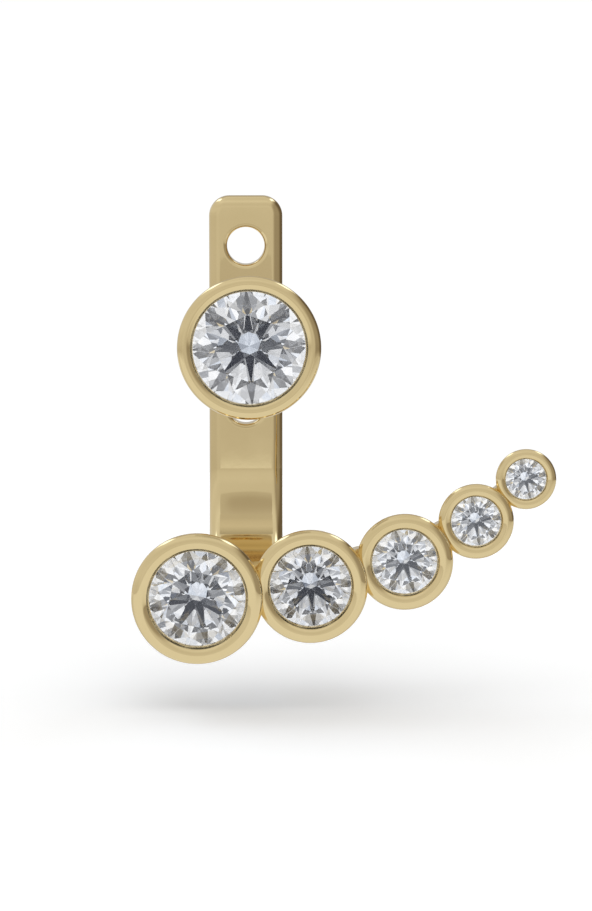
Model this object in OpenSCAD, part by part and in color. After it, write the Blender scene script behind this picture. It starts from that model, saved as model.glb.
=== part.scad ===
// Ear jacket earring: a bezel-set stud whose post carries a J-shaped jacket.
// The flat strap hangs behind the ear lobe, bends forward under it and ends in
// five bezels that grow smaller along a rising line in front of the lobe.
// Units are millimetres. X is to the right seen from the front, the front looks
// towards -Y, Z is up. The origin lies on the post, midway through the lobe.

/* [Lobe and post] */
// Room for the ear lobe, from the strap's front face to the backs of the bezels
lobe_gap = 4.6; // [4.4:0.1:5.4]
// Radius of the post
post_r = 0.4; // [0.35:0.01:0.42]
// Length of the post behind the stud's bezel
post_length = 9.5; // [8.5:0.1:11]
// Length of the post's tapered tip
post_tip = 0.3; // [0.1:0.05:0.5]

/* [Strap] */
// Width of the strap
strap_w = 2.6; // [2.5:0.05:3]
// Thickness of the strap
strap_t = 0.9; // [0.85:0.05:1]
// Sideways place of the strap's middle, seen from the post
strap_x = -0.13; // [-0.15:0.01:0.1]
// Height of the strap's top end above the post's axis
strap_top = 4.75; // [4.6:0.05:5.5]
// Radius of the strap's top corners
corner_r = 0.72; // [0.5:0.01:0.9]
// Rounding of the strap's long edges
edge_r = 0.4; // [0.3:0.01:0.42]
// Depth below the post's axis at which the strap begins to bend
bend_drop = 4.95; // [4.8:0.05:5.1]
// Inner radius of the bend under the lobe
bend_r = 2.8; // [2.6:0.05:3]

/* [Post holes] */
// Radius of the three holes that set the jacket's height
hole_r = 0.665; // [0.65:0.005:0.7]
// Distance between neighbouring holes
hole_pitch = 2.845; // [2.5:0.005:2.9]
// Height of the middle hole's centre above the post's axis
hole_rise = 0.13; // [0.05:0.01:0.15]
// Rounding of the holes' edges
hole_edge = 0.16; // [0.05:0.01:0.2]

/* [Stud] */
// Outer radius of the stud's rim
stud_rim_r = 2.43; // [2.3:0.01:2.5]
// Radius of the opening that shows the stud's stone
stud_open_r = 1.905; // [1.8:0.005:1.95]

/* [Bezel 1] */
// Sideways place of the first bezel's centre
bezel_1_x = -1.78; // [-1.9:0.01:-1.6]
// Depth of the first bezel's centre below the post's axis
bezel_1_drop = 8.58; // [8.5:0.01:8.7]
// Outer radius of the first bezel's rim
rim_r_1 = 2.25; // [2.2:0.01:2.3]
// Radius of the first bezel's opening
open_r_1 = 1.64; // [1.5:0.01:1.7]

/* [Bezel 2] */
// Outer radius of the second bezel's rim
rim_r_2 = 1.95; // [1.9:0.01:2]
// Radius of the second bezel's opening
open_r_2 = 1.38; // [1.3:0.01:1.42]
// Slope of the line from the first bezel's centre to the second's, in degrees
climb_2 = 5.5; // [3:0.5:8]
// Depth by which the second bezel's rim sinks into the first's
bite_2 = 0.32; // [0.2:0.01:0.35]

/* [Bezel 3] */
// Outer radius of the third bezel's rim
rim_r_3 = 1.655; // [1.6:0.005:1.7]
// Radius of the third bezel's opening
open_r_3 = 1.105; // [1:0.005:1.15]
// Slope of the line from the second bezel's centre to the third's, in degrees
climb_3 = 14; // [10:0.5:18]
// Depth by which the third bezel's rim sinks into the second's
bite_3 = 0.29; // [0.2:0.01:0.32]

/* [Bezel 4] */
// Outer radius of the fourth bezel's rim
rim_r_4 = 1.29; // [1.25:0.005:1.32]
// Radius of the fourth bezel's opening
open_r_4 = 0.845; // [0.8:0.005:0.87]
// Slope of the line from the third bezel's centre to the fourth's, in degrees
climb_4 = 29; // [25:0.5:33]
// Depth by which the fourth bezel's rim sinks into the third's
bite_4 = 0.15; // [0.1:0.01:0.2]

/* [Bezel 5] */
// Outer radius of the fifth bezel's rim
rim_r_5 = 1.035; // [1:0.005:1.06]
// Radius of the fifth bezel's opening
open_r_5 = 0.69; // [0.65:0.005:0.7]
// Slope of the line from the fourth bezel's centre to the fifth's, in degrees
climb_5 = 40; // [35:0.5:45]
// Depth by which the fifth bezel's rim sinks into the fourth's
bite_5 = 0.1; // [0.06:0.01:0.12]

/* [Bezel walls] */
// Lean of a bezel's outer wall towards its back, in degrees
wall_taper = 9; // [5:0.5:10]
// Depth of the straight wall inside the rim, as a share of the opening
lip_share = 0.055; // [0.04:0.005:0.07]
// Width by which the rim covers the stone's edge
lip_cover = 0.1; // [0.08:0.01:0.12]
// Metal behind a stone's point
back_t = 0.25; // [0.2:0.01:0.35]
// Radius of the hole behind a stone's point, as a share of the stone
back_hole_share = 0.18; // [0.1:0.01:0.19]
// Clearance between a stone and its seat
seat_gap = 0.02; // [0.01:0.005:0.03]
// Half length of the metal bridge between two bezels
bridge_l = 0.15; // [0.1:0.01:0.16]
// Height by which a bridge stands out above and below the crossing of two rims
bridge_rise = 0.08; // [0.05:0.01:0.12]

/* [Stones] */
// Width of the table, as a share of the stone
table_share = 0.57; // [0.53:0.01:0.62]
// Slope of the crown's main facets, in degrees
crown_angle = 34.5; // [32:0.5:36]
// Slope of the pavilion's main facets, in degrees
pavilion_angle = 40.8; // [40:0.1:42]
// Height of the girdle, as a share of the stone's width
girdle_share = 0.03; // [0.02:0.005:0.04]
// Reach of the star facets from the table towards the girdle
star_reach = 0.5; // [0.45:0.01:0.6]
// Reach of the lower halves from the girdle towards the point
lower_reach = 0.77; // [0.7:0.01:0.85]

/* [Ear back] */
// Radius of the ear back's disc
ear_back_r = 1.5; // [1.2:0.05:1.6]
// Thickness of the ear back's disc
ear_back_t = 0.6; // [0.4:0.05:0.8]
// Radius of the ear back's collar
collar_r = 0.85; // [0.7:0.05:1]
// Length of the ear back's collar
collar_l = 0.8; // [0.5:0.05:1]
// Rounding of the ear back's disc
ear_back_edge = 0.2; // [0.1:0.01:0.3]
// Clearance between the ear back and the post
grip_gap = 0.015; // [0.01:0.005:0.02]
// Space between the strap and the ear back
ear_back_space = 0.1; // [0.1:0.05:0.5]

/* [Hidden] */

$fn = 96;
GOLD = [0.80, 0.70, 0.48];
DIAMOND = [0.88, 0.91, 0.94];
PAST = 1; // how far a cutting tool runs past what it cuts
FOLD = 8; // times that a round brilliant repeats around its axis
HALF_TURN = 180 / FOLD;

lobe_half = lobe_gap / 2;
strap_mid_y = lobe_half + strap_t / 2;
run_length = lobe_gap - bend_r;
run_embed = 0.15; // the strap's end reaches this far into the bezels' backs
wall_step = 0.012; // the rim stands this far out over the wall below it
post_embed = 0.15; // the post reaches this far into the stud's back

rim_r = [rim_r_1, rim_r_2, rim_r_3, rim_r_4, rim_r_5];
open_r = [open_r_1, open_r_2, open_r_3, open_r_4, open_r_5];
climb = [0, climb_2, climb_3, climb_4, climb_5];
bite = [0, bite_2, bite_3, bite_4, bite_5];
STONE_TURN = [11, 5, 17, 9, 14]; // how far each jacket stone is turned in its seat
STUD_STONE_TURN = 3;

// Distance between the centres of bezel i and the one before it
function step(i) = rim_r[i - 1] + rim_r[i] - bite[i];
// Centre of bezel i, as [x, z]
function centre(i) = i == 0 ? [bezel_1_x, -bezel_1_drop]
    : centre(i - 1) + step(i) * [cos(climb[i]), sin(climb[i])];

function rim_half(rim, open) = (rim - open) / 2;
function stone_r(open) = open + lip_cover;
function lip_depth(open) = 2 * open * lip_share;
function girdle_h(open) = 2 * stone_r(open) * girdle_share;
function pavilion_h(open) = stone_r(open) * tan(pavilion_angle);
// Height of the girdle's upper edge above the bezel's back
function girdle_top(open) = back_t + pavilion_h(open) + girdle_h(open);
// Height of the straight wall's lower end, where it meets the crown
function lip_z(open) = girdle_top(open) + lip_cover * tan(crown_angle) + seat_gap;
function bezel_h(rim, open) = lip_z(open) + lip_depth(open) + rim_half(rim, open);

// Turns a shape modelled along +Z to look towards the front, with its base on
// the plane of the bezels' backs
module on_front() {
    translate([0, -lobe_half, 0]) rotate([90, 0, 0]) children();
}

// Places a shape at the centre of jacket bezel i
module at_bezel(i) {
    translate([centre(i)[0], 0, centre(i)[1]]) on_front() children();
}

// Outer form of a bezel: a tapered cup under a fully round rim
module bezel_body(rim, open) {
    half = rim_half(rim, open);
    rim_z = bezel_h(rim, open) - half;
    reach = half - wall_step;
    wall_top = [rim - half + reach * cos(wall_taper), rim_z - reach * sin(wall_taper)];
    base_r = wall_top[0] - wall_top[1] * tan(wall_taper);
    rotate_extrude() union() {
        translate([rim - half, rim_z]) circle(half);
        polygon([[0, 0], [base_r, 0], wall_top, [rim - half, rim_z], [0, rim_z]]);
    }
}

// Room for a stone: opening, groove for the girdle, cone and hole at the back
module bezel_seat(rim, open, hole) {
    wide = stone_r(open) + seat_gap;
    groove_top = lip_z(open) - (wide - open) * tan(crown_angle);
    groove_base = girdle_top(open) - girdle_h(open) - seat_gap;
    cone_base = groove_base - (wide - hole) * tan(pavilion_angle) - 2 * seat_gap;
    floor_z = hole > 0 ? -PAST : cone_base;
    rotate_extrude() polygon([
        [0, bezel_h(rim, open) + PAST],
        [open, bezel_h(rim, open) + PAST],
        [open, lip_z(open)],
        [wide, groove_top],
        [wide, groove_base],
        [hole, cone_base],
        [hole, floor_z],
        [0, floor_z],
    ]);
}

// Corners spread evenly over a circle
function ring(count, radius, z, offset) =
    [for (k = [0:count - 1]) let (a = offset + k * 360 / count)
        [radius * cos(a), radius * sin(a), z]];

// Round brilliant with its point at the origin and its table towards +Z: the
// rings of corners run from the table down to the point
module brilliant(r) {
    table_r = table_share * r;
    table_flat = table_r * cos(HALF_TURN);
    star_r = table_flat + star_reach * (r - table_flat);
    lower_r = (1 - lower_reach) * r;
    girdle_low = r * tan(pavilion_angle);
    girdle_up = girdle_low + 2 * r * girdle_share;
    table_z = girdle_up + (r - table_r) * tan(crown_angle);
    star_z = girdle_up + (r - star_r * cos(HALF_TURN)) * tan(crown_angle);
    lower_z = girdle_low - (r - lower_r * cos(HALF_TURN)) * tan(pavilion_angle);

    points = concat(
        ring(FOLD, table_r, table_z, 0),
        ring(FOLD, star_r, star_z, HALF_TURN),
        ring(2 * FOLD, r, girdle_up, 0),
        ring(2 * FOLD, r, girdle_low, 0),
        ring(FOLD, lower_r, lower_z, HALF_TURN),
        [[0, 0, 0]]);
    function tab(k) = k % FOLD;
    function star(k) = FOLD + k % FOLD;
    function up(k) = 2 * FOLD + k % (2 * FOLD);
    function low(k) = 4 * FOLD + k % (2 * FOLD);
    function inner(k) = 6 * FOLD + k % FOLD;
    point = 7 * FOLD;
    last = FOLD - 1;
    faces = concat(
        [[for (k = [last:-1:0]) tab(k)]],
        [for (k = [0:last]) [tab(k), tab(k + 1), star(k)]],
        [for (k = [0:last]) [tab(k), star(k), up(2 * k), star(k + last)]],
        [for (k = [0:last]) [star(k), up(2 * k + 1), up(2 * k)]],
        [for (k = [0:last]) [star(k), up(2 * k + 2), up(2 * k + 1)]],
        [for (k = [0:2 * FOLD - 1]) [up(k), up(k + 1), low(k + 1), low(k)]],
        [for (k = [0:last]) [low(2 * k), low(2 * k + 1), inner(k)]],
        [for (k = [0:last]) [low(2 * k + 1), low(2 * k + 2), inner(k)]],
        [for (k = [0:last]) [point, inner(k + last), low(2 * k), inner(k)]]);
    polyhedron(points, faces);
}

// Stone seated in a bezel that stands on the origin plane
module seated_stone(open, turn) {
    color(DIAMOND) translate([0, 0, back_t]) rotate([0, 0, turn]) brilliant(stone_r(open));
}

// Rounded rectangle a by b about the origin
module section(a, b) {
    square([a - 2 * edge_r, b], center = true);
    square([a, b - 2 * edge_r], center = true);
    for (x = [-1, 1], y = [-1, 1])
        translate([x * (a / 2 - edge_r), y * (b / 2 - edge_r)]) circle(edge_r);
}

// Front outline of the strap's upright part, y up from where the bend begins
module strap_outline() {
    height = strap_top + bend_drop;
    translate([-strap_w / 2, 0]) square([strap_w, height - corner_r]);
    translate([-strap_w / 2 + corner_r, 0]) square([strap_w - 2 * corner_r, height]);
    for (x = [-1, 1])
        translate([x * (strap_w / 2 - corner_r), height - corner_r]) circle(corner_r);
}

// Side outline of the upright part, its top edges rounded
module strap_side() {
    height = strap_top + bend_drop;
    translate([-strap_t / 2, 0]) square([strap_t, height - edge_r]);
    translate([-strap_t / 2 + edge_r, 0]) square([strap_t - 2 * edge_r, height]);
    for (y = [-1, 1])
        translate([y * (strap_t / 2 - edge_r), height - edge_r]) circle(edge_r);
}

// Upright part of the strap: its section, front outline and side outline meet
module upright() {
    translate([strap_x, strap_mid_y, -bend_drop]) intersection() {
        linear_extrude(strap_top + bend_drop) section(strap_w, strap_t);
        translate([0, strap_t, 0]) rotate([90, 0, 0]) linear_extrude(2 * strap_t) strap_outline();
        translate([-strap_w, 0, 0]) rotate([90, 0, 90]) linear_extrude(2 * strap_w) strap_side();
    }
}

// Quarter bend under the lobe, and the straight run to the bezels' backs
module bend_and_run() {
    translate([strap_x, lobe_half - bend_r, -bend_drop]) rotate([-90, 0, 90])
        rotate_extrude(angle = 90) translate([bend_r + strap_t / 2, 0]) section(strap_t, strap_w);
    translate([strap_x, lobe_half - bend_r, -bend_drop - bend_r - strap_t / 2]) rotate([90, 0, 0])
        linear_extrude(run_length + run_embed) section(strap_w, strap_t);
}

// Cutting tool for one post hole with rounded edges
module post_hole(z) {
    translate([strap_x, strap_mid_y, z]) rotate([90, 0, 0]) {
        cylinder(r = hole_r, h = strap_t + 2 * PAST, center = true);
        for (side = [-1, 1]) translate([0, 0, side * strap_t / 2]) difference() {
            cylinder(r = hole_r + hole_edge, h = 2 * hole_edge, center = true);
            translate([0, 0, -side * hole_edge]) rotate_extrude()
                translate([hole_r + hole_edge, 0]) circle(hole_edge);
        }
    }
}

// Small bar of metal that joins bezel i to the one before it, behind their rims
module bridge(i) {
    ra = rim_r[i - 1];
    rb = rim_r[i];
    along = (ra * ra - rb * rb + step(i) * step(i)) / (2 * step(i));
    half_h = sqrt(ra * ra - along * along) + bridge_rise;
    deep = bezel_h(rb, open_r[i]) - 2 * rim_half(rb, open_r[i]);
    at_bezel(i - 1) rotate([0, 0, climb[i]]) translate([along - bridge_l, -half_h, deep / 2])
        cube([2 * bridge_l, 2 * half_h, deep / 2]);
}

module jacket() {
    color(GOLD) difference() {
        union() {
            upright();
            bend_and_run();
            for (i = [0:4]) at_bezel(i) bezel_body(rim_r[i], open_r[i]);
            for (i = [1:4]) bridge(i);
        }
        for (k = [-1:1]) post_hole(hole_rise + k * hole_pitch);
        for (i = [0:4]) at_bezel(i)
            bezel_seat(rim_r[i], open_r[i], back_hole_share * stone_r(open_r[i]));
    }
}

module jacket_stone(i) {
    at_bezel(i) seated_stone(open_r[i], STONE_TURN[i]);
}

module stud_setting() {
    color(GOLD) {
        on_front() difference() {
            bezel_body(stud_rim_r, stud_open_r);
            bezel_seat(stud_rim_r, stud_open_r, 0);
        }
        translate([0, -lobe_half - post_embed, 0]) rotate([-90, 0, 0]) {
            cylinder(r = post_r, h = post_embed + post_length - post_tip);
            translate([0, 0, post_embed + post_length - post_tip])
                cylinder(r1 = post_r, r2 = post_r / 2, h = post_tip);
        }
    }
}

module stud_stone() {
    on_front() seated_stone(stud_open_r, STUD_STONE_TURN);
}

// Plain round friction back: a disc against the strap and a collar behind it
module ear_back() {
    front = lobe_half + strap_t + ear_back_space;
    bore = post_r + grip_gap;
    color(GOLD) translate([0, front, 0]) rotate([-90, 0, 0]) difference() {
        union() {
            cylinder(r = ear_back_r - ear_back_edge, h = ear_back_t);
            translate([0, 0, ear_back_edge])
                cylinder(r = ear_back_r, h = ear_back_t - 2 * ear_back_edge);
            for (z = [ear_back_edge, ear_back_t - ear_back_edge]) translate([0, 0, z])
                rotate_extrude() translate([ear_back_r - ear_back_edge, 0]) circle(ear_back_edge);
            cylinder(r = collar_r, h = ear_back_t + collar_l);
        }
        translate([0, 0, -PAST]) cylinder(r = bore, h = ear_back_t + collar_l + 2 * PAST);
    }
}

jacket();
jacket_stone(0);  // jacket_stone_1
jacket_stone(1);  // jacket_stone_2
jacket_stone(2);  // jacket_stone_3
jacket_stone(3);  // jacket_stone_4
jacket_stone(4);  // jacket_stone_5
stud_setting();
stud_stone();
ear_back();
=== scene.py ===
"""Looks of the ear jacket earring: fine meshes, materials, studio light and camera.

Sizes are the ones of the construction, in millimetres, and become metres when a mesh is made.
"""

import math

import bmesh
import bpy
from mathutils import Matrix, Vector


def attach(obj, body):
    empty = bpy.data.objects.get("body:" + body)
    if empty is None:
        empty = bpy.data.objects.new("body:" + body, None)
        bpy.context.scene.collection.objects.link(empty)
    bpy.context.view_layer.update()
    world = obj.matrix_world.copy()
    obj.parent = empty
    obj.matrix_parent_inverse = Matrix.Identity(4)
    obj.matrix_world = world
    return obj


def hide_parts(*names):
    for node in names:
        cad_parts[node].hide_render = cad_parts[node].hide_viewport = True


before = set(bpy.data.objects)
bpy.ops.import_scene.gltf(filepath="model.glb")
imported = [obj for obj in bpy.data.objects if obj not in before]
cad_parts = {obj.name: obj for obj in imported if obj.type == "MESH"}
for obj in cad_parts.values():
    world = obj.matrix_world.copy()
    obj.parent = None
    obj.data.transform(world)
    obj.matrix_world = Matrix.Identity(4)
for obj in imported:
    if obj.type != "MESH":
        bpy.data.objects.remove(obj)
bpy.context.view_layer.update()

MM = 0.001

# Lobe and strap
LOBE_HALF = 2.3
STRAP_W = 2.6
STRAP_T = 0.9
STRAP_X = -0.13
STRAP_TOP = 4.75
STRAP_CORNER_R = 0.72
STRAP_EDGE_R = 0.4
SMALLEST_EDGE_R = 0.02
BEND_DROP = 4.95
BEND_R = 2.8
RUN_EMBED = 0.15
HOLE_R = 0.665
HOLE_PITCH = 2.845
HOLE_RISE = 0.13
HOLE_EDGE = 0.16

# Post and its tip
POST_R = 0.4
POST_LENGTH = 9.5
POST_TIP = 0.3
POST_FILLET = 0.08
TIP_EDGE_W = 0.04
TIP_EDGE_L = 0.015
TIP_SHOULDER_W = 0.02
TIP_SHOULDER_L = 0.03

# Bezels, from the largest to the smallest. From the one before it, each lies CLIMB degrees upwards and
# overlaps it by BITE.
STUD_RIM_R = 2.43
STUD_OPEN_R = 1.905
RIM_R = [2.25, 1.95, 1.655, 1.29, 1.035]
OPEN_R = [1.64, 1.38, 1.105, 0.845, 0.69]
FIRST_CENTRE = (-1.78, -8.58)
CLIMB = [0, 5.5, 14, 29, 40]
BITE = [0, 0.32, 0.29, 0.15, 0.1]
WALL_TAPER = math.radians(9)
LIP_SHARE = 0.055
LIP_COVER = 0.1
BACK_T = 0.25
BACK_HOLE_SHARE = 0.18
SEAT_GAP = 0.02
BRIDGE_L = 0.15
BRIDGE_RISE = 0.08
BRIDGE_EDGE_R = 0.06
BASE_EDGE_R = 0.1

# Stones. STONE_TURN is in degrees, and STONE_GLOW is the light that fills in the darkest facets.
FOLD = 8
TABLE_SHARE = 0.57
CROWN = math.radians(34.5)
PAVILION = math.radians(40.8)
GIRDLE_SHARE = 0.03
STAR_REACH = 0.5
LOWER_REACH = 0.77
STONE_TURN = [11, 5, 17, 9, 14]
STONE_GLOW = [0.008, 0.003, 0.019, 0.024, 0.027]
STUD_STONE_TURN = 3
STUD_STONE_GLOW = 0.0

# Ear back
EAR_BACK_R = 1.5
EAR_BACK_T = 0.6
COLLAR_R = 0.85
COLLAR_L = 0.8
EAR_BACK_EDGE = 0.2
COLLAR_EDGE = 0.12
BORE_EDGE = 0.06
GRIP_GAP = 0.015
EAR_BACK_SPACE = 0.1

# Fineness of the meshes, with angles in degrees
LATHE_STEPS = 192
POST_RINGS = 12
HOLE_STEPS = 128
ARC_STEP = 5
TOP_EDGE_STEP = 10
TOP_CORNER_STEP = 5
BEND_STEP = 2
HOLE_EDGE_STEP = 7.5
CREASE = 35

# Gold: the haze shifts its roughness and tone, the hairlines bend its gloss
HAZE_SCALE = 900
HAZE_DETAIL = 4
HAZE_SPAN = (0.3, 0.7)
GOLD_ROUGHNESS = (0.045, 0.08)
GOLD_TONES = [(0.3, (0.79, 0.627, 0.332)), (0.7, (0.81, 0.645, 0.348))]
HAIR_SCALE = 5000
HAIR_DETAIL = 3
HAIR_STRENGTH = 0.03
HAIR_HEIGHT = 0.01

# Metal of the seats, which starts SEAT_START above a bezel's back
SEAT_SCALE = 4000
SEAT_DETAIL = 3
SEAT_ROUGHNESS = 0.5
SEAT_TONES = [(0.3, (0.60, 0.62, 0.66)), (0.7, (0.74, 0.76, 0.80))]
SEAT_MARGIN = 0.01
SEAT_START = 0.02

# Material of the stones
CLOUD_SCALE = 1500
CLOUD_DETAIL = 2
STONE_TONES = [(0.35, (0.975, 0.98, 0.99)), (0.65, (1, 1, 1))]
STONE_IOR = 2.417
STONE_GLOW_TONE = (0.92, 0.96, 1)

# Floor. Mirrors see it in the tones named MIRRORED: one all round, one far out on the right, which is
# painted shade, and one under and behind the bezels, which is a painted shadow of the earring. RIGHT is a
# share of the way to the side, AWAY and UNDER are in millimetres.
FLOOR_Z = -12.45
FLOOR_R = 60
FLOOR_STEPS = 128
FLOOR_WHITE = (1.32, 1.30, 1.265)
FLOOR_FILL = 0.1
FLOOR_FILL_TONE = (1, 0.97, 0.93)
FLOOR_MIRRORED = (0.86, 0.885, 0.92)
FLOOR_MIRRORED_FAR = (0.60, 0.592, 0.581)
FLOOR_MIRRORED_SHADOW = (0.71, 0.72, 0.735)
FLOOR_RIGHT = (0.1, 0.5)
FLOOR_AWAY = (12, 65)
FLOOR_UNDER_FRONT = (-4.2, -2.5)
FLOOR_UNDER_REAR = (20, 8)

# Grey shell inside the stud's metal, for mirrored rays alone: a glowing painted reflection of the stud, with
# painted shade darker below
SHELL_INSET = 0.1
SHELL_TOP_INSET = 0.03
SHELL_STEPS = 96
SHELL_SHADED_BELOW = (0.495, 0.475, 0.445)
SHELL_UPPER = (0.61, 0.60, 0.59)
SHELL_FRONT = (0.60, 0.595, 0.58)
SHELL_FRONT_START = 0.5
SHELL_FADE_W = 0.7

# Grey card in the lobe's gap, for mirrored rays alone, with its tones from front to back: a glowing sheet of
# painted shade, in bands, where the gap holds only shade
CARD_Z = 0.9
CARD_HALF = 2.2
CARD_SHADE_TONES = [
    (0.0, (0.60, 0.59, 0.57)), (0.17, (0.60, 0.59, 0.57)), (0.37, (0.67, 0.66, 0.64)),
    (0.59, (0.70, 0.69, 0.67)), (0.78, (0.60, 0.59, 0.56)), (1.0, (0.45, 0.44, 0.41)),
]

# Room that the metal mirrors, by direction: x to the right, y to the back, z up. A pair says where a shade
# starts and is full; four values add where it ends and is gone. ROOM_HEIGHTS gives the brightness at heights
# from 0, straight down, to 1, straight up.
ROOM_HEIGHTS = [
    (0.38, 0.84), (0.415, 0.76), (0.44, 0.63), (0.47, 0.69), (0.50, 0.72), (0.57, 0.735), (0.64, 0.705),
    (0.75, 0.695), (0.82, 0.72), (0.87, 0.765), (0.915, 0.81), (0.95, 0.80), (0.985, 0.76), (1.0, 0.73),
]
RIGHT_SHADE = 0.06
LEFT_SHADE = 0.09
LEFT_X = (-0.5, -0.8)
LEFT_Z = (-0.35, -0.2, 0.05, 0.25)
PANEL_SHADE = 0.42
PANEL_SHARE_OF_Z = -0.3
PANEL_SIDE = (0.26, 0.68)
PANEL_SHARE_OF_Y = 0.6
PANEL_REAR = (0.78, 0.92)
PANEL_REAR_TOP = (0.72, 0.55)
PANEL_FOOT = (-0.30, -0.08)
DEEP_SHADE = 0.6
DEEP_Y = (-0.2, 0.45)
BEHIND_SHADE = 0.24
BEHIND_X = (0.42, 0.24)
BEHIND_Y = (0.15, 0.4)
BEHIND_Z = (0.92, 0.8)
LIGHTS = 1.1
LIGHTS_X = (0.33, 0.41, 0.52, 0.62)
LIGHTS_Y = (0.1, 0.3)
LIGHTS_Z = (0.44, 0.58, 0.80, 0.88)

# Tint of that room: brighter than MIDDLE_TONE is cooler, by these powers of the brightness
MIDDLE_TONE = 0.675
GREEN_POWER = 0.12
BLUE_POWER = 0.28

# Room that the stones refract: rings about an axis seven degrees above the front, each at its share of the
# way round to the back, with its colour or brightness
RINGS_AXIS = (0, -0.9925, 0.1219)
RINGS = [
    (0.0, (0.03, 0.032, 0.04)), (0.085, (0.035, 0.038, 0.05)), (0.11, (0.24, 0.25, 0.27)),
    (0.14, (0.64, 0.65, 0.67)), (0.18, (1.12, 1.13, 1.15)), (0.225, (0.93, 0.97, 1.04)),
    (0.237, (1.0, 1.06, 1.16)), (0.244, (0.4, 0.44, 0.52)), (0.251, (0.98, 1.05, 1.16)),
    (0.262, (0.16, 0.18, 0.23)), (0.285, (0.9, 0.91, 0.92)), (0.31, 0.65), (0.345, 0.6),
    (0.37, 1.1), (0.42, 1.15), (0.47, 0.9), (0.52, 0.65), (1.0, 0.6),
]

# Backdrop and camera. The angles are in degrees, and the sensor's width spans the photo's height.
BACKDROP = (1.02, 1.02, 1.02)
CAMERA_PLACE = (0.275, -129.139, 11.638)
CAMERA_TILT = 7
CAMERA_TURN = -0.6
SENSOR_W = 36
FOCAL_LENGTH_PX = 3712.5
PHOTO_HEIGHT_PX = 911


def bezel_centres():
    """Centres of the jacket's bezels as (x, z)."""
    centres = [FIRST_CENTRE]
    for i in range(1, len(RIM_R)):
        step = RIM_R[i - 1] + RIM_R[i] - BITE[i]
        climb = math.radians(CLIMB[i])
        x, z = centres[-1]
        centres.append((x + step * math.cos(climb), z + step * math.sin(climb)))
    return centres


def stone_r(opening):
    return opening + LIP_COVER


def girdle_low(opening):
    """Height of the girdle's lower edge above the bezel's back."""
    return BACK_T + stone_r(opening) * math.tan(PAVILION)


def girdle_top(opening):
    return girdle_low(opening) + 2 * stone_r(opening) * GIRDLE_SHARE


def lip_z(opening):
    """Height of the lip's lower edge, where it meets the crown."""
    return girdle_top(opening) + LIP_COVER * math.tan(CROWN) + SEAT_GAP


def bezel_h(rim, opening):
    return lip_z(opening) + 2 * opening * LIP_SHARE + (rim - opening) / 2


def on_front(x=0.0, z=0.0):
    """Matrix that turns a shape modelled along +Z towards the front, its base on the bezels' backs."""
    return Matrix.Translation((x, -LOBE_HALF, z)) @ Matrix.Rotation(math.radians(90), 4, "X")


def along_back(y):
    """Matrix that turns a shape modelled along +Z towards the back, its base at y on the post's axis."""
    return Matrix.Translation((0, y, 0)) @ Matrix.Rotation(math.radians(-90), 4, "X")


def quarter_turn(step, start=0):
    """Angles in radians from start to 90 degrees, in steps of so many degrees."""
    return [math.radians(start + k * step) for k in range(round((90 - start) / step) + 1)]


def arc(centre, radius, start, end):
    """Points of an arc in the outline's plane, both ends included; angles in radians."""
    count = max(2, math.ceil(abs(end - start) / math.radians(ARC_STEP)))
    return [
        (
            centre[0] + radius * math.cos(start + (end - start) * k / count),
            centre[1] + radius * math.sin(start + (end - start) * k / count),
        )
        for k in range(count + 1)
    ]


def new_ring(bm, count, radius, height, offset=0.0):
    """Vertices evenly round the Z axis, the first of them turned by the offset in radians."""
    return [
        bm.verts.new((
            radius * math.cos(offset + 2 * math.pi * k / count),
            radius * math.sin(offset + 2 * math.pi * k / count),
            height,
        ))
        for k in range(count)
    ]


def finish_mesh(bm, name, place):
    """Object from a bmesh in millimetres, placed in the part's frame, with its faces looking outwards."""
    bm.transform(Matrix.Scale(MM, 4) @ place)
    bmesh.ops.recalc_face_normals(bm, faces=bm.faces)
    mesh = bpy.data.meshes.new(name)
    bm.to_mesh(mesh)
    bm.free()
    piece = bpy.data.objects.new(name, mesh)
    bpy.context.scene.collection.objects.link(piece)
    return piece


def lathe(name, outline, place, steps=LATHE_STEPS):
    """Solid turned about Z from (radius, height) points, from pole to pole or as a closed ring."""
    bm = bmesh.new()
    rings = []
    for radius, height in outline:
        if radius == 0:
            rings.append([bm.verts.new((0, 0, height))])
        else:
            rings.append(new_ring(bm, steps, radius, height))
    pairs = list(zip(rings, rings[1:]))
    if len(rings[0]) > 1:
        pairs.append((rings[-1], rings[0]))
    for lower, upper in pairs:
        for k in range(steps):
            n = (k + 1) % steps
            corners = [
                lower[k % len(lower)],
                lower[n % len(lower)],
                upper[n % len(upper)],
                upper[k % len(upper)],
            ]
            bm.faces.new(list(dict.fromkeys(corners)))
    return finish_mesh(bm, name, place)


def loft(name, sections, place):
    """Solid through a row of sections, each a closed ring of (x, y, z) points."""
    bm = bmesh.new()
    rings = [[bm.verts.new(point) for point in ring] for ring in sections]
    count = len(rings[0])
    for lower, upper in zip(rings, rings[1:]):
        for k in range(count):
            n = (k + 1) % count
            bm.faces.new((lower[k], lower[n], upper[n], upper[k]))
    bm.faces.new(rings[0])
    bm.faces.new(rings[-1])
    return finish_mesh(bm, name, place)


def bezel_walls(rim, opening):
    """Outer outline of a bezel from its back's edge over the rim to the lip, the first part rounded."""
    half = (rim - opening) / 2
    rim_z = bezel_h(rim, opening) - half
    wall_top_r = rim - half + half * math.cos(WALL_TAPER)
    wall_top_z = rim_z - half * math.sin(WALL_TAPER)
    base_r = wall_top_r - wall_top_z * math.tan(WALL_TAPER)
    inset = BASE_EDGE_R * (1 - math.sin(WALL_TAPER)) / math.cos(WALL_TAPER)
    points = arc((base_r - inset, BASE_EDGE_R), BASE_EDGE_R, -math.pi / 2, -WALL_TAPER)
    points += arc((rim - half, rim_z), half, -WALL_TAPER, math.pi)
    return points


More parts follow.
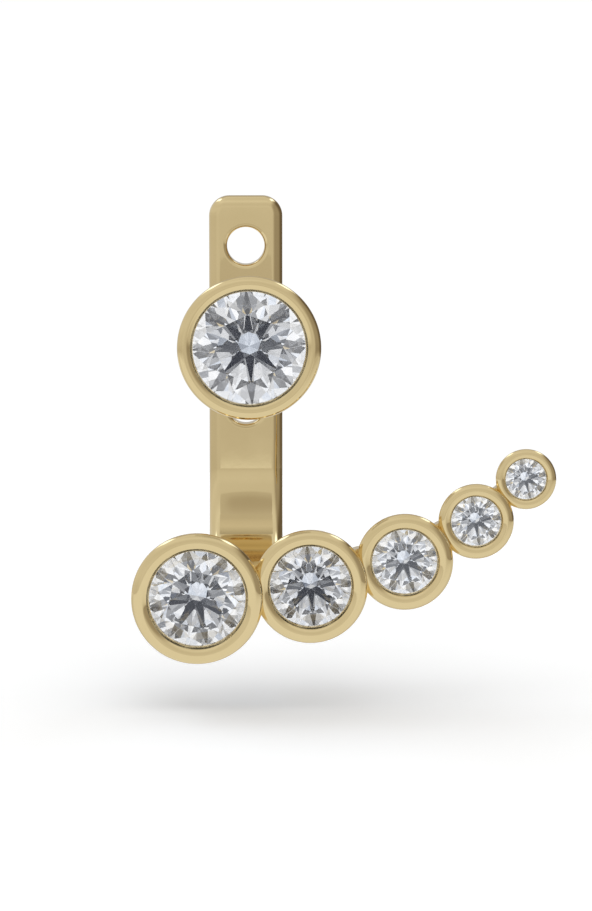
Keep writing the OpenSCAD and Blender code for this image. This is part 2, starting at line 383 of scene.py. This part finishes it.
def seat(opening, hole):
    """Outline of the room for a stone, from the lip down to the hole at the back."""
    wide = stone_r(opening) + SEAT_GAP
    low = lip_z(opening)
    groove_top = low - (wide - opening) * math.tan(CROWN)
    groove_base = girdle_low(opening) - SEAT_GAP
    cone_base = groove_base - (wide - hole) * math.tan(PAVILION) - 2 * SEAT_GAP
    return [(opening, low), (wide, groove_top), (wide, groove_base), (hole, cone_base)]


def rounded_section(a, b, radius):
    """Closed ring of (u, v) points of a rounded rectangle a by b."""
    points = []
    corners = [(1, 1, 0), (-1, 1, 90), (-1, -1, 180), (1, -1, 270)]
    for u, v, start in corners:
        centre = (u * (a / 2 - radius), v * (b / 2 - radius))
        points += arc(centre, radius, math.radians(start), math.radians(start + 90))
    return points


def strap_top():
    """Rings of the strap's top end, where its corners and edges round off."""
    mid_y = LOBE_HALF + STRAP_T / 2
    depths = [STRAP_EDGE_R * (1 - math.cos(a)) for a in quarter_turn(TOP_EDGE_STEP)]
    corner_depths = [STRAP_CORNER_R * (1 - math.cos(a)) for a in quarter_turn(TOP_CORNER_STEP, 45)]
    depths += [depth for depth in corner_depths if depth > STRAP_EDGE_R]
    rings = []
    for depth in depths:
        corner = max(0.0, STRAP_CORNER_R - depth)
        side = STRAP_CORNER_R - math.sqrt(STRAP_CORNER_R**2 - corner**2)
        edge = max(0.0, STRAP_EDGE_R - depth)
        thin = STRAP_EDGE_R - math.sqrt(STRAP_EDGE_R**2 - edge**2)
        radius = max(SMALLEST_EDGE_R, STRAP_EDGE_R - thin)
        ring = rounded_section(STRAP_W - 2 * side, STRAP_T - 2 * thin, radius)
        rings.append([(STRAP_X + u, mid_y + v, STRAP_TOP - depth) for u, v in ring])
    return rings


def strap_sections():
    """Rings of the strap from its top end, down the lobe's back and round the bend to the bezels."""
    rings = strap_top()
    ring = rounded_section(STRAP_W, STRAP_T, STRAP_EDGE_R)
    bend_mid = BEND_R + STRAP_T / 2
    for angle in quarter_turn(BEND_STEP):
        rings.append([
            (
                STRAP_X + u,
                LOBE_HALF - BEND_R + (bend_mid + v) * math.cos(angle),
                -BEND_DROP - (bend_mid + v) * math.sin(angle),
            )
            for u, v in ring
        ])
    end_y = -LOBE_HALF - RUN_EMBED
    rings.append([(STRAP_X + u, end_y, -BEND_DROP - bend_mid - v) for u, v in ring])
    return rings


def post_hole(z):
    """Solid that cuts one post hole, its ends flared by the rounding of the edges."""
    past = 0.3
    below_face = 0.002
    half = STRAP_T / 2
    flare_r = HOLE_R + HOLE_EDGE
    flare = [
        (flare_r - HOLE_EDGE * math.cos(a), half - HOLE_EDGE + HOLE_EDGE * math.sin(a))
        for a in quarter_turn(HOLE_EDGE_STEP)
    ]
    upper = flare[:-1] + [(flare_r, half - below_face), (flare_r, half + past)]
    lower = [(radius, -height) for radius, height in reversed(upper)]
    outline = [(0, -half - past)] + lower + upper + [(0, half + past)]
    place = Matrix.Translation((STRAP_X, LOBE_HALF + half, z)) @ Matrix.Rotation(math.radians(90), 4, "X")
    return lathe("post_hole", outline, place, HOLE_STEPS)


def bridge(i):
    """Small rounded bar between bezel i and the one before it, behind their rims."""
    large, small = RIM_R[i - 1], RIM_R[i]
    step = large + small - BITE[i]
    along = (large**2 - small**2 + step**2) / (2 * step)
    half_h = math.sqrt(large**2 - along**2) + BRIDGE_RISE
    deep = bezel_h(small, OPEN_R[i]) - (small - OPEN_R[i])
    ring = rounded_section(2 * BRIDGE_L, 2 * half_h, BRIDGE_EDGE_R)
    sections = [[(along + u, v, z) for u, v in ring] for z in (deep / 2, deep)]
    turn = Matrix.Rotation(math.radians(CLIMB[i]), 4, "Z")
    return loft("bridge", sections, on_front(*bezel_centres()[i - 1]) @ turn)


def combine(base, others, operation):
    """Joins the other solids to the base, or cuts them from it, and removes them."""
    for other in others:
        mod = base.modifiers.new("Combine", "BOOLEAN")
        mod.operation = operation
        mod.solver = "MANIFOLD"
        mod.object = other
    bpy.context.view_layer.update()
    graph = bpy.context.evaluated_depsgraph_get()
    mesh = bpy.data.meshes.new_from_object(base.evaluated_get(graph))
    base.modifiers.clear()
    old = base.data
    base.data = mesh
    mesh.name = old.name
    bpy.data.meshes.remove(old)
    for other in others:
        bpy.data.objects.remove(other)


def smooth(piece):
    """Smooth shading that stays crisp at the creases."""
    piece.data.shade_smooth()
    piece.data.set_sharp_from_angle(angle=math.radians(CREASE))
    weigh = piece.modifiers.new("Even faces", "WEIGHTED_NORMAL")
    weigh.mode = "FACE_AREA_WITH_ANGLE"
    weigh.keep_sharp = True


def make_jacket():
    jacket = loft("jacket_metal", strap_sections(), Matrix.Identity(4))
    combine(jacket, [post_hole(HOLE_RISE + k * HOLE_PITCH) for k in (-1, 0, 1)], "DIFFERENCE")
    solids = []
    for (x, z), rim, opening in zip(bezel_centres(), RIM_R, OPEN_R):
        hole = BACK_HOLE_SHARE * stone_r(opening)
        outline = bezel_walls(rim, opening) + seat(opening, hole) + [(hole, 0)]
        solids.append(lathe("bezel", outline, on_front(x, z)))
    solids += [bridge(i) for i in range(1, len(RIM_R))]
    combine(jacket, solids, "UNION")
    smooth(jacket)
    return jacket


def make_stud():
    tip_z = -POST_LENGTH + POST_TIP
    outline = [
        (0, -POST_LENGTH),
        (POST_R / 2, -POST_LENGTH),
        (POST_R / 2 + TIP_EDGE_W, -POST_LENGTH + TIP_EDGE_L),
        (POST_R - TIP_SHOULDER_W, tip_z - TIP_SHOULDER_W),
        (POST_R, tip_z + TIP_SHOULDER_L),
    ]
    outline += [(POST_R, tip_z - tip_z * k / POST_RINGS) for k in range(1, POST_RINGS)]
    outline += arc((POST_R + POST_FILLET, -POST_FILLET), POST_FILLET, math.pi, math.pi / 2)
    outline += bezel_walls(STUD_RIM_R, STUD_OPEN_R) + seat(STUD_OPEN_R, 0)
    stud = lathe("stud_metal", outline, on_front())
    smooth(stud)
    return stud


def make_ear_back():
    front = LOBE_HALF + STRAP_T + EAR_BACK_SPACE
    bore = POST_R + GRIP_GAP
    end = EAR_BACK_T + COLLAR_L
    disc_r = EAR_BACK_R - EAR_BACK_EDGE
    quarter = math.pi / 2
    outline = [(bore, BORE_EDGE), (bore + BORE_EDGE, 0)]
    outline += arc((disc_r, EAR_BACK_EDGE), EAR_BACK_EDGE, -quarter, 0)
    outline += arc((disc_r, EAR_BACK_T - EAR_BACK_EDGE), EAR_BACK_EDGE, 0, quarter)
    outline += [(COLLAR_R, EAR_BACK_T)]
    outline += arc((COLLAR_R - COLLAR_EDGE, end - COLLAR_EDGE), COLLAR_EDGE, 0, quarter)
    outline += [(bore + BORE_EDGE, end), (bore, end - BORE_EDGE)]
    ear_back = lathe("ear_back_metal", outline, along_back(front))
    smooth(ear_back)
    return ear_back


def brilliant(name, opening, turn, place):
    """Round brilliant with flat facets, its point on the metal at the bezel's back."""
    r = stone_r(opening)
    half_turn = math.pi / FOLD
    table_r = TABLE_SHARE * r
    table_flat = table_r * math.cos(half_turn)
    star_r = table_flat + STAR_REACH * (r - table_flat)
    lower_r = (1 - LOWER_REACH) * r
    low = r * math.tan(PAVILION)
    up = low + 2 * r * GIRDLE_SHARE
    table_z = up + (r - table_r) * math.tan(CROWN)
    star_z = up + (r - star_r * math.cos(half_turn)) * math.tan(CROWN)
    lower_z = low - (r - lower_r * math.cos(half_turn)) * math.tan(PAVILION)
    bm = bmesh.new()
    table = new_ring(bm, FOLD, table_r, table_z)
    star = new_ring(bm, FOLD, star_r, star_z, half_turn)
    upper = new_ring(bm, 2 * FOLD, r, up)
    lower = new_ring(bm, 2 * FOLD, r, low)
    inner = new_ring(bm, FOLD, lower_r, lower_z, half_turn)
    point = bm.verts.new((0, 0, 0))
    bm.faces.new(table)
    for k in range(FOLD):
        n = (k + 1) % FOLD
        a, b, c = 2 * k, 2 * k + 1, (2 * k + 2) % (2 * FOLD)
        bm.faces.new((table[k], table[n], star[k]))
        bm.faces.new((table[n], star[n], upper[c], star[k]))
        bm.faces.new((star[k], upper[b], upper[a]))
        bm.faces.new((star[k], upper[c], upper[b]))
        bm.faces.new((upper[a], upper[b], lower[b], lower[a]))
        bm.faces.new((upper[b], upper[c], lower[c], lower[b]))
        bm.faces.new((lower[a], lower[b], inner[k]))
        bm.faces.new((lower[b], lower[c], inner[k]))
        bm.faces.new((point, inner[k], lower[c], inner[n]))
    spin = Matrix.Rotation(math.radians(turn), 4, "Z")
    stone = finish_mesh(bm, name, place @ Matrix.Translation((0, 0, BACK_T)) @ spin)
    stone.data.shade_flat()
    return stone


class Graph:
    """Shorthand for the node tree of a material or of the world."""

    def __init__(self, owner):
        owner.use_nodes = True
        self.nodes = owner.node_tree.nodes
        self.links = owner.node_tree.links

    def put(self, socket, value):
        """Links another node's output to a socket, or sets the socket to a number, vector or colour."""
        if isinstance(value, bpy.types.NodeSocket):
            self.links.new(value, socket)
        elif socket.type == "RGBA":
            socket.default_value = (*value, 1)
        else:
            socket.default_value = value

    def fill(self, node, inputs):
        """Puts a value into each of a node's sockets that are named."""
        for name, value in inputs.items():
            self.put(node.inputs[name], value)

    def new(self, kind, inputs):
        node = self.nodes.new(kind)
        self.fill(node, inputs)
        return node

    def put_in_order(self, node, values):
        for socket, value in zip(node.inputs, values):
            self.put(socket, value)

    def math(self, operation, *values):
        node = self.nodes.new("ShaderNodeMath")
        node.operation = operation
        self.put_in_order(node, values)
        return node.outputs["Value"]

    def vector_math(self, operation, *vectors):
        node = self.nodes.new("ShaderNodeVectorMath")
        node.operation = operation
        self.put_in_order(node, vectors)
        return node.outputs["Value"]

    def times(self, first, *others):
        for value in others:
            first = self.math("MULTIPLY", first, value)
        return first

    def plus(self, value, factor, offset):
        """Value times factor, plus offset."""
        return self.math("MULTIPLY_ADD", value, factor, offset)

    def mapped(self, value, start, end, low, high, course):
        """Value mapped from start and end to low and high, and held there beyond them."""
        node = self.nodes.new("ShaderNodeMapRange")
        node.interpolation_type = course
        self.fill(node, {"Value": value, "From Min": start, "From Max": end, "To Min": low, "To Max": high})
        return node.outputs["Result"]

    def rise(self, value, start, end):
        """Smooth rise from 0 where value is start to 1 where it is end; start may be the larger."""
        return self.mapped(value, start, end, 0.0, 1.0, "SMOOTHSTEP")

    def rise_mm(self, value, start, end):
        """As rise, for a place in metres and its start and end in millimetres."""
        return self.rise(value, start * MM, end * MM)

    def ramp(self, factor, stops):
        """Ramp through (position, brightness or colour) stops."""
        node = self.new("ShaderNodeValToRGB", {"Fac": factor})
        elements = node.color_ramp.elements
        while len(elements) < len(stops):
            elements.new(0.5)
        for element, (position, value) in zip(elements, stops):
            element.position = position
            element.color = (*value, 1) if isinstance(value, tuple) else (value, value, value, 1)
        return node.outputs["Color"]

    def mix(self, share, first, second):
        """Colour between two others."""
        node = self.nodes.new("ShaderNodeMix")
        node.data_type = "RGBA"
        self.fill(node, {"Factor": share, "A": first, "B": second})
        return node.outputs["Result"]

    def mix_shaders(self, share, first, second):
        node = self.nodes.new("ShaderNodeMixShader")
        self.put_in_order(node, (share, first, second))
        return node.outputs["Shader"]

    def noise(self, scale, detail):
        """Noise over the piece, finer for a larger scale."""
        place = self.nodes.new("ShaderNodeTexCoord").outputs["Object"]
        node = self.new("ShaderNodeTexNoise", {"Vector": place, "Scale": scale, "Detail": detail})
        return node.outputs["Fac"]

    def position(self):
        return self.nodes.new("ShaderNodeNewGeometry").outputs["Position"]

    def parts(self, vector):
        """Outputs X, Y and Z of a vector."""
        return self.new("ShaderNodeSeparateXYZ", {"Vector": vector}).outputs

    def light_path(self):
        return self.nodes.new("ShaderNodeLightPath").outputs

    def emission(self, tone):
        return self.new("ShaderNodeEmission", {"Color": tone}).outputs["Emission"]

    def surface(self, shader):
        self.put(self.nodes["Material Output"].inputs["Surface"], shader)


def gold_material():
    """Polished pale gold: near mirror, with a breath of haze and hairlines that only shift the gloss."""
    gold = bpy.data.materials.new("polished_gold")
    graph = Graph(gold)
    haze = graph.noise(HAZE_SCALE, HAZE_DETAIL)
    hairs = graph.new("ShaderNodeBump", {
        "Height": graph.noise(HAIR_SCALE, HAIR_DETAIL),
        "Strength": HAIR_STRENGTH,
        "Distance": HAIR_HEIGHT * MM,
    })
    graph.fill(graph.nodes["Principled BSDF"], {
        "Base Color": graph.ramp(haze, GOLD_TONES),
        "Metallic": 1.0,
        "Roughness": graph.mapped(haze, *HAZE_SPAN, *GOLD_ROUGHNESS, "LINEAR"),
        "Normal": hairs.outputs["Normal"],
    })
    return gold


def seat_material():
    """Dull, pale metal of the seats, which is seen through the stones only."""
    dull = bpy.data.materials.new("dull_seat")
    graph = Graph(dull)
    graph.fill(graph.nodes["Principled BSDF"], {
        "Base Color": graph.ramp(graph.noise(SEAT_SCALE, SEAT_DETAIL), SEAT_TONES),
        "Metallic": 1.0,
        "Roughness": SEAT_ROUGHNESS,
    })
    return dull


def stone_material(name, glow):
    """Clear, colourless stone of high refraction; glow is the light that fills in its darkest facets."""
    stone = bpy.data.materials.new(name)
    graph = Graph(stone)
    graph.fill(graph.nodes["Principled BSDF"], {
        "Base Color": graph.ramp(graph.noise(CLOUD_SCALE, CLOUD_DETAIL), STONE_TONES),
        "Roughness": 0.0,
        "IOR": STONE_IOR,
        "Transmission Weight": 1.0,
        "Emission Color": STONE_GLOW_TONE,
        "Emission Strength": glow,
    })
    return stone


def floor_material():
    """Matt white floor.

    Mirrors see it evenly lit, darker far out on the right, which is painted shade, and darker under the
    bezels, which is a painted shadow of the earring. The stones see past it.
    """
    floor = bpy.data.materials.new("pale_floor")
    graph = Graph(floor)
    matt = graph.nodes["Principled BSDF"]
    graph.fill(matt, {
        "Base Color": FLOOR_WHITE,
        "Roughness": 1.0,
        "Specular IOR Level": 0.0,
        "Emission Color": FLOOR_FILL_TONE,
        "Emission Strength": FLOOR_FILL,
    })
    position = graph.position()
    place = graph.parts(position)
    distance = graph.vector_math("LENGTH", position)
    right = graph.rise(graph.math("DIVIDE", place["X"], distance), *FLOOR_RIGHT)
    away = graph.rise_mm(distance, *FLOOR_AWAY)
    # Painted shadow of the earring, under and behind the bezels, on the floor that mirrors see
    under = graph.times(
        graph.rise_mm(place["Y"], *FLOOR_UNDER_FRONT),
        graph.rise_mm(place["Y"], *FLOOR_UNDER_REAR),
    )
    # Painted shade far out on the right, then the painted shadow under the bezels
    tone = graph.mix(graph.times(right, away), FLOOR_MIRRORED, FLOOR_MIRRORED_FAR)
    tone = graph.mix(under, tone, FLOOR_MIRRORED_SHADOW)
    rays = graph.light_path()
    seen = graph.mix_shaders(rays["Is Camera Ray"], graph.emission(tone), matt.outputs["BSDF"])
    clear = graph.nodes.new("ShaderNodeBsdfTransparent").outputs["BSDF"]
    graph.surface(graph.mix_shaders(rays["Is Singular Ray"], seen, clear))
    return floor


def mark_seats(piece, bezels):
    """Gives the faces inside the bezels, below the lips, the second material."""
    for face in piece.data.polygons:
        x, y, z = face.center / MM
        height = -y - LOBE_HALF
        for centre, opening in bezels:
            reach = math.hypot(x - centre[0], z - centre[1])
            inside = reach < stone_r(opening) + SEAT_GAP + SEAT_MARGIN
            if inside and SEAT_START < height < lip_z(opening):
                face.material_index = 1


def dress(piece, body, nodes, materials):
    """Puts a piece in place of its CAD nodes."""
    piece.data.materials.clear()
    for material in materials:
        piece.data.materials.append(material)
    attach(piece, body)
    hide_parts(*nodes)


def make_earring():
    """All pieces of the earring. Mirrors don't see the stud's metal, but the grey shell inside it, a painted
    reflection.
    """
    gold = gold_material()
    dull = seat_material()
    jacket = make_jacket()
    stud = make_stud()
    ear_back = make_ear_back()
    dress(jacket, "jacket", ["jacket"], [gold, dull])
    dress(stud, "stud", ["stud_setting"], [gold, dull])
    dress(ear_back, "stud", ["ear_back"], [gold])
    mark_seats(jacket, list(zip(bezel_centres(), OPEN_R)))
    mark_seats(stud, [((0, 0), STUD_OPEN_R)])
    for i, (x, z) in enumerate(bezel_centres()):
        cut = brilliant(f"jacket_brilliant_{i + 1}", OPEN_R[i], STONE_TURN[i], on_front(x, z))
        stone = stone_material(f"clear_stone_{i + 1}", STONE_GLOW[i])
        dress(cut, "jacket", [f"jacket_stone_{i + 1}"], [stone])
    cut = brilliant("stud_brilliant", STUD_OPEN_R, STUD_STONE_TURN, on_front())
    stone = stone_material("clear_stone", STUD_STONE_GLOW)
    dress(cut, "stud", ["stud_stone"], [stone])
    stud.visible_glossy = False


def make_floor():
    bm = bmesh.new()
    bmesh.ops.create_circle(bm, cap_ends=True, radius=FLOOR_R, segments=FLOOR_STEPS)
    floor = finish_mesh(bm, "floor", Matrix.Translation((0, 0, FLOOR_Z)))
    floor.data.materials.append(floor_material())


def show_to_mirrors(piece, colour):
    """Lets mirrored rays alone see the piece, which glows as painted shade in the colour that the function
    gives for a place.
    """
    grey = bpy.data.materials.new(f"{piece.name}_grey")
    graph = Graph(grey)
    graph.nodes.remove(graph.nodes["Principled BSDF"])
    tone = colour(graph, graph.parts(graph.position()))
    graph.surface(graph.emission(tone))
    piece.data.materials.append(grey)
    piece.visible_camera = False
    piece.visible_diffuse = False
    piece.visible_transmission = False
    piece.visible_shadow = False


def stud_rim_z():
    """Height of the middle of the stud's rounded rim above its back."""
    return bezel_h(STUD_RIM_R, STUD_OPEN_R) - (STUD_RIM_R - STUD_OPEN_R) / 2


def shell_colour(graph, place):
    """Painted shade: grey that is darker below, and even towards the front and the strap's left edge."""
    strap_left = STRAP_X - STRAP_W / 2
    upper = graph.rise_mm(place["Z"], -STUD_RIM_R, STUD_RIM_R)
    front = graph.rise_mm(place["Y"], -(LOBE_HALF + SHELL_FRONT_START), -(LOBE_HALF + stud_rim_z()))
    left = graph.rise_mm(place["X"], strap_left + SHELL_FADE_W, strap_left)
    tone = graph.mix(upper, SHELL_SHADED_BELOW, SHELL_UPPER)
    tone = graph.mix(front, tone, SHELL_FRONT)
    return graph.mix(left, tone, SHELL_FRONT)


def make_shell():
    """Grey shell inside the stud's metal, a painted reflection of the stud, so that the strap mirrors plain
    surroundings.
    """
    rim_z = stud_rim_z()
    top_r = STUD_RIM_R - SHELL_INSET
    base_r = top_r - rim_z * math.tan(WALL_TAPER)
    outline = [(0, SHELL_INSET), (base_r, SHELL_INSET), (top_r - SHELL_TOP_INSET, rim_z)]
    shell = lathe("shell", outline, on_front(), SHELL_STEPS)
    show_to_mirrors(shell, shell_colour)


def card_colour(graph, place):
    """Painted shade: grey that changes in bands from the card's front edge to its rear edge."""
    return graph.ramp(graph.plus(place["Y"], 0.5 / (CARD_HALF * MM), 0.5), CARD_SHADE_TONES)


def make_gap_card():
    """Grey card in the lobe's gap, glowing with painted shade, so that the bend mirrors less of the room."""
    bm = bmesh.new()
    bmesh.ops.create_grid(bm, x_segments=1, y_segments=1, size=CARD_HALF)
    card = finish_mesh(bm, "gap_card", Matrix.Translation((0, 0, CARD_Z)))
    show_to_mirrors(card, card_colour)


class Sky(Graph):
    """Node tree of the world, with the direction of the ray that meets it."""

    def __init__(self, world):
        super().__init__(world)
        self.direction = self.nodes.new("ShaderNodeTexCoord").outputs["Generated"]
        self.x, self.y, self.z = self.parts(self.direction)

    def band(self, value, start, full, end, gone):
        """Smooth window that opens from start to full and shuts from end to gone."""
        return self.times(self.rise(value, start, full), self.rise(value, gone, end))

    def shade(self, share, depth):
        """Factor that falls from 1 by the depth as share rises from 0 to 1."""
        return self.plus(share, -depth, 1.0)


def room_seen_by_metal(sky):
    """Pale room: a dark panel on the right, two narrow lights high behind, less light between them."""
    base = sky.ramp(sky.plus(sky.z, 0.5, 0.5), ROOM_HEIGHTS)
    left = sky.times(sky.rise(sky.x, *LEFT_X), sky.band(sky.z, *LEFT_Z))
    side = sky.rise(sky.plus(sky.z, PANEL_SHARE_OF_Z, sky.x), *PANEL_SIDE)
    rear = sky.rise(sky.plus(sky.y, PANEL_SHARE_OF_Y, sky.x), *PANEL_REAR)
    rear = sky.times(rear, sky.rise(sky.z, *PANEL_REAR_TOP))
    panel = sky.times(sky.math("MAXIMUM", side, rear), sky.rise(sky.z, *PANEL_FOOT))
    deep = sky.times(panel, sky.rise(sky.y, *DEEP_Y))
    across = sky.math("ABSOLUTE", sky.x)
    behind = sky.times(
        sky.rise(across, *BEHIND_X),
        sky.rise(sky.y, *BEHIND_Y),
        sky.rise(sky.z, *BEHIND_Z),
    )
    shades = sky.times(
        sky.shade(sky.x, RIGHT_SHADE),
        sky.shade(left, LEFT_SHADE),
        sky.shade(panel, PANEL_SHADE),
        sky.shade(deep, DEEP_SHADE),
        sky.shade(behind, BEHIND_SHADE),
    )
    lights = sky.times(
        sky.band(across, *LIGHTS_X),
        sky.rise(sky.y, *LIGHTS_Y),
        sky.band(sky.z, *LIGHTS_Z),
    )
    return sky.plus(lights, LIGHTS, sky.times(base, shades))


def tinted(sky, brightness):
    """Paler light is a little cooler: the colour follows the brightness."""
    ratio = sky.times(brightness, 1 / MIDDLE_TONE)
    joined = sky.new("ShaderNodeCombineColor", {
        "Red": brightness,
        "Green": sky.times(brightness, sky.math("POWER", ratio, GREEN_POWER)),
        "Blue": sky.times(brightness, sky.math("POWER", ratio, BLUE_POWER)),
    })
    return joined.outputs["Color"]


def room_seen_by_stones(sky):
    """Contrasty room, which makes facets dark or bright: rings of grey and white around the front."""
    turn = sky.math("ARCCOSINE", sky.vector_math("DOT_PRODUCT", sky.direction, RINGS_AXIS))
    return sky.ramp(sky.times(turn, 1 / math.pi), RINGS)


def make_light():
    """Soft studio room, in which the camera sees a plain white backdrop."""
    world = bpy.data.worlds.new("studio")
    bpy.context.scene.world = world
    sky = Sky(world)
    rays = sky.light_path()
    metal = tinted(sky, room_seen_by_metal(sky))
    seen = sky.mix(rays["Is Singular Ray"], metal, room_seen_by_stones(sky))
    seen = sky.mix(rays["Is Camera Ray"], seen, BACKDROP)
    sky.put(sky.nodes["Background"].inputs["Color"], seen)


def make_camera():
    """Camera in front of the earring and a little above it."""
    data = bpy.data.cameras.new("camera")
    camera = bpy.data.objects.new("camera", data)
    bpy.context.scene.collection.objects.link(camera)
    camera.location = Vector(CAMERA_PLACE) * MM
    camera.rotation_euler = (math.radians(90 - CAMERA_TILT), 0, math.radians(CAMERA_TURN))
    data.sensor_width = SENSOR_W
    data.lens = SENSOR_W * FOCAL_LENGTH_PX / PHOTO_HEIGHT_PX
    data.clip_start = 0.005
    data.clip_end = 20
    bpy.context.scene.camera = camera


def make_view():
    scene = bpy.context.scene
    scene.view_settings.view_transform = "Standard"
    scene.cycles.max_bounces = 24
    scene.cycles.transmission_bounces = 24
    scene.cycles.glossy_bounces = 12
    scene.cycles.diffuse_bounces = 3
    scene.cycles.caustics_reflective = False
    scene.cycles.caustics_refractive = False


make_earring()
make_floor()
make_shell()
make_gap_card()
make_light()
make_camera()
make_view()
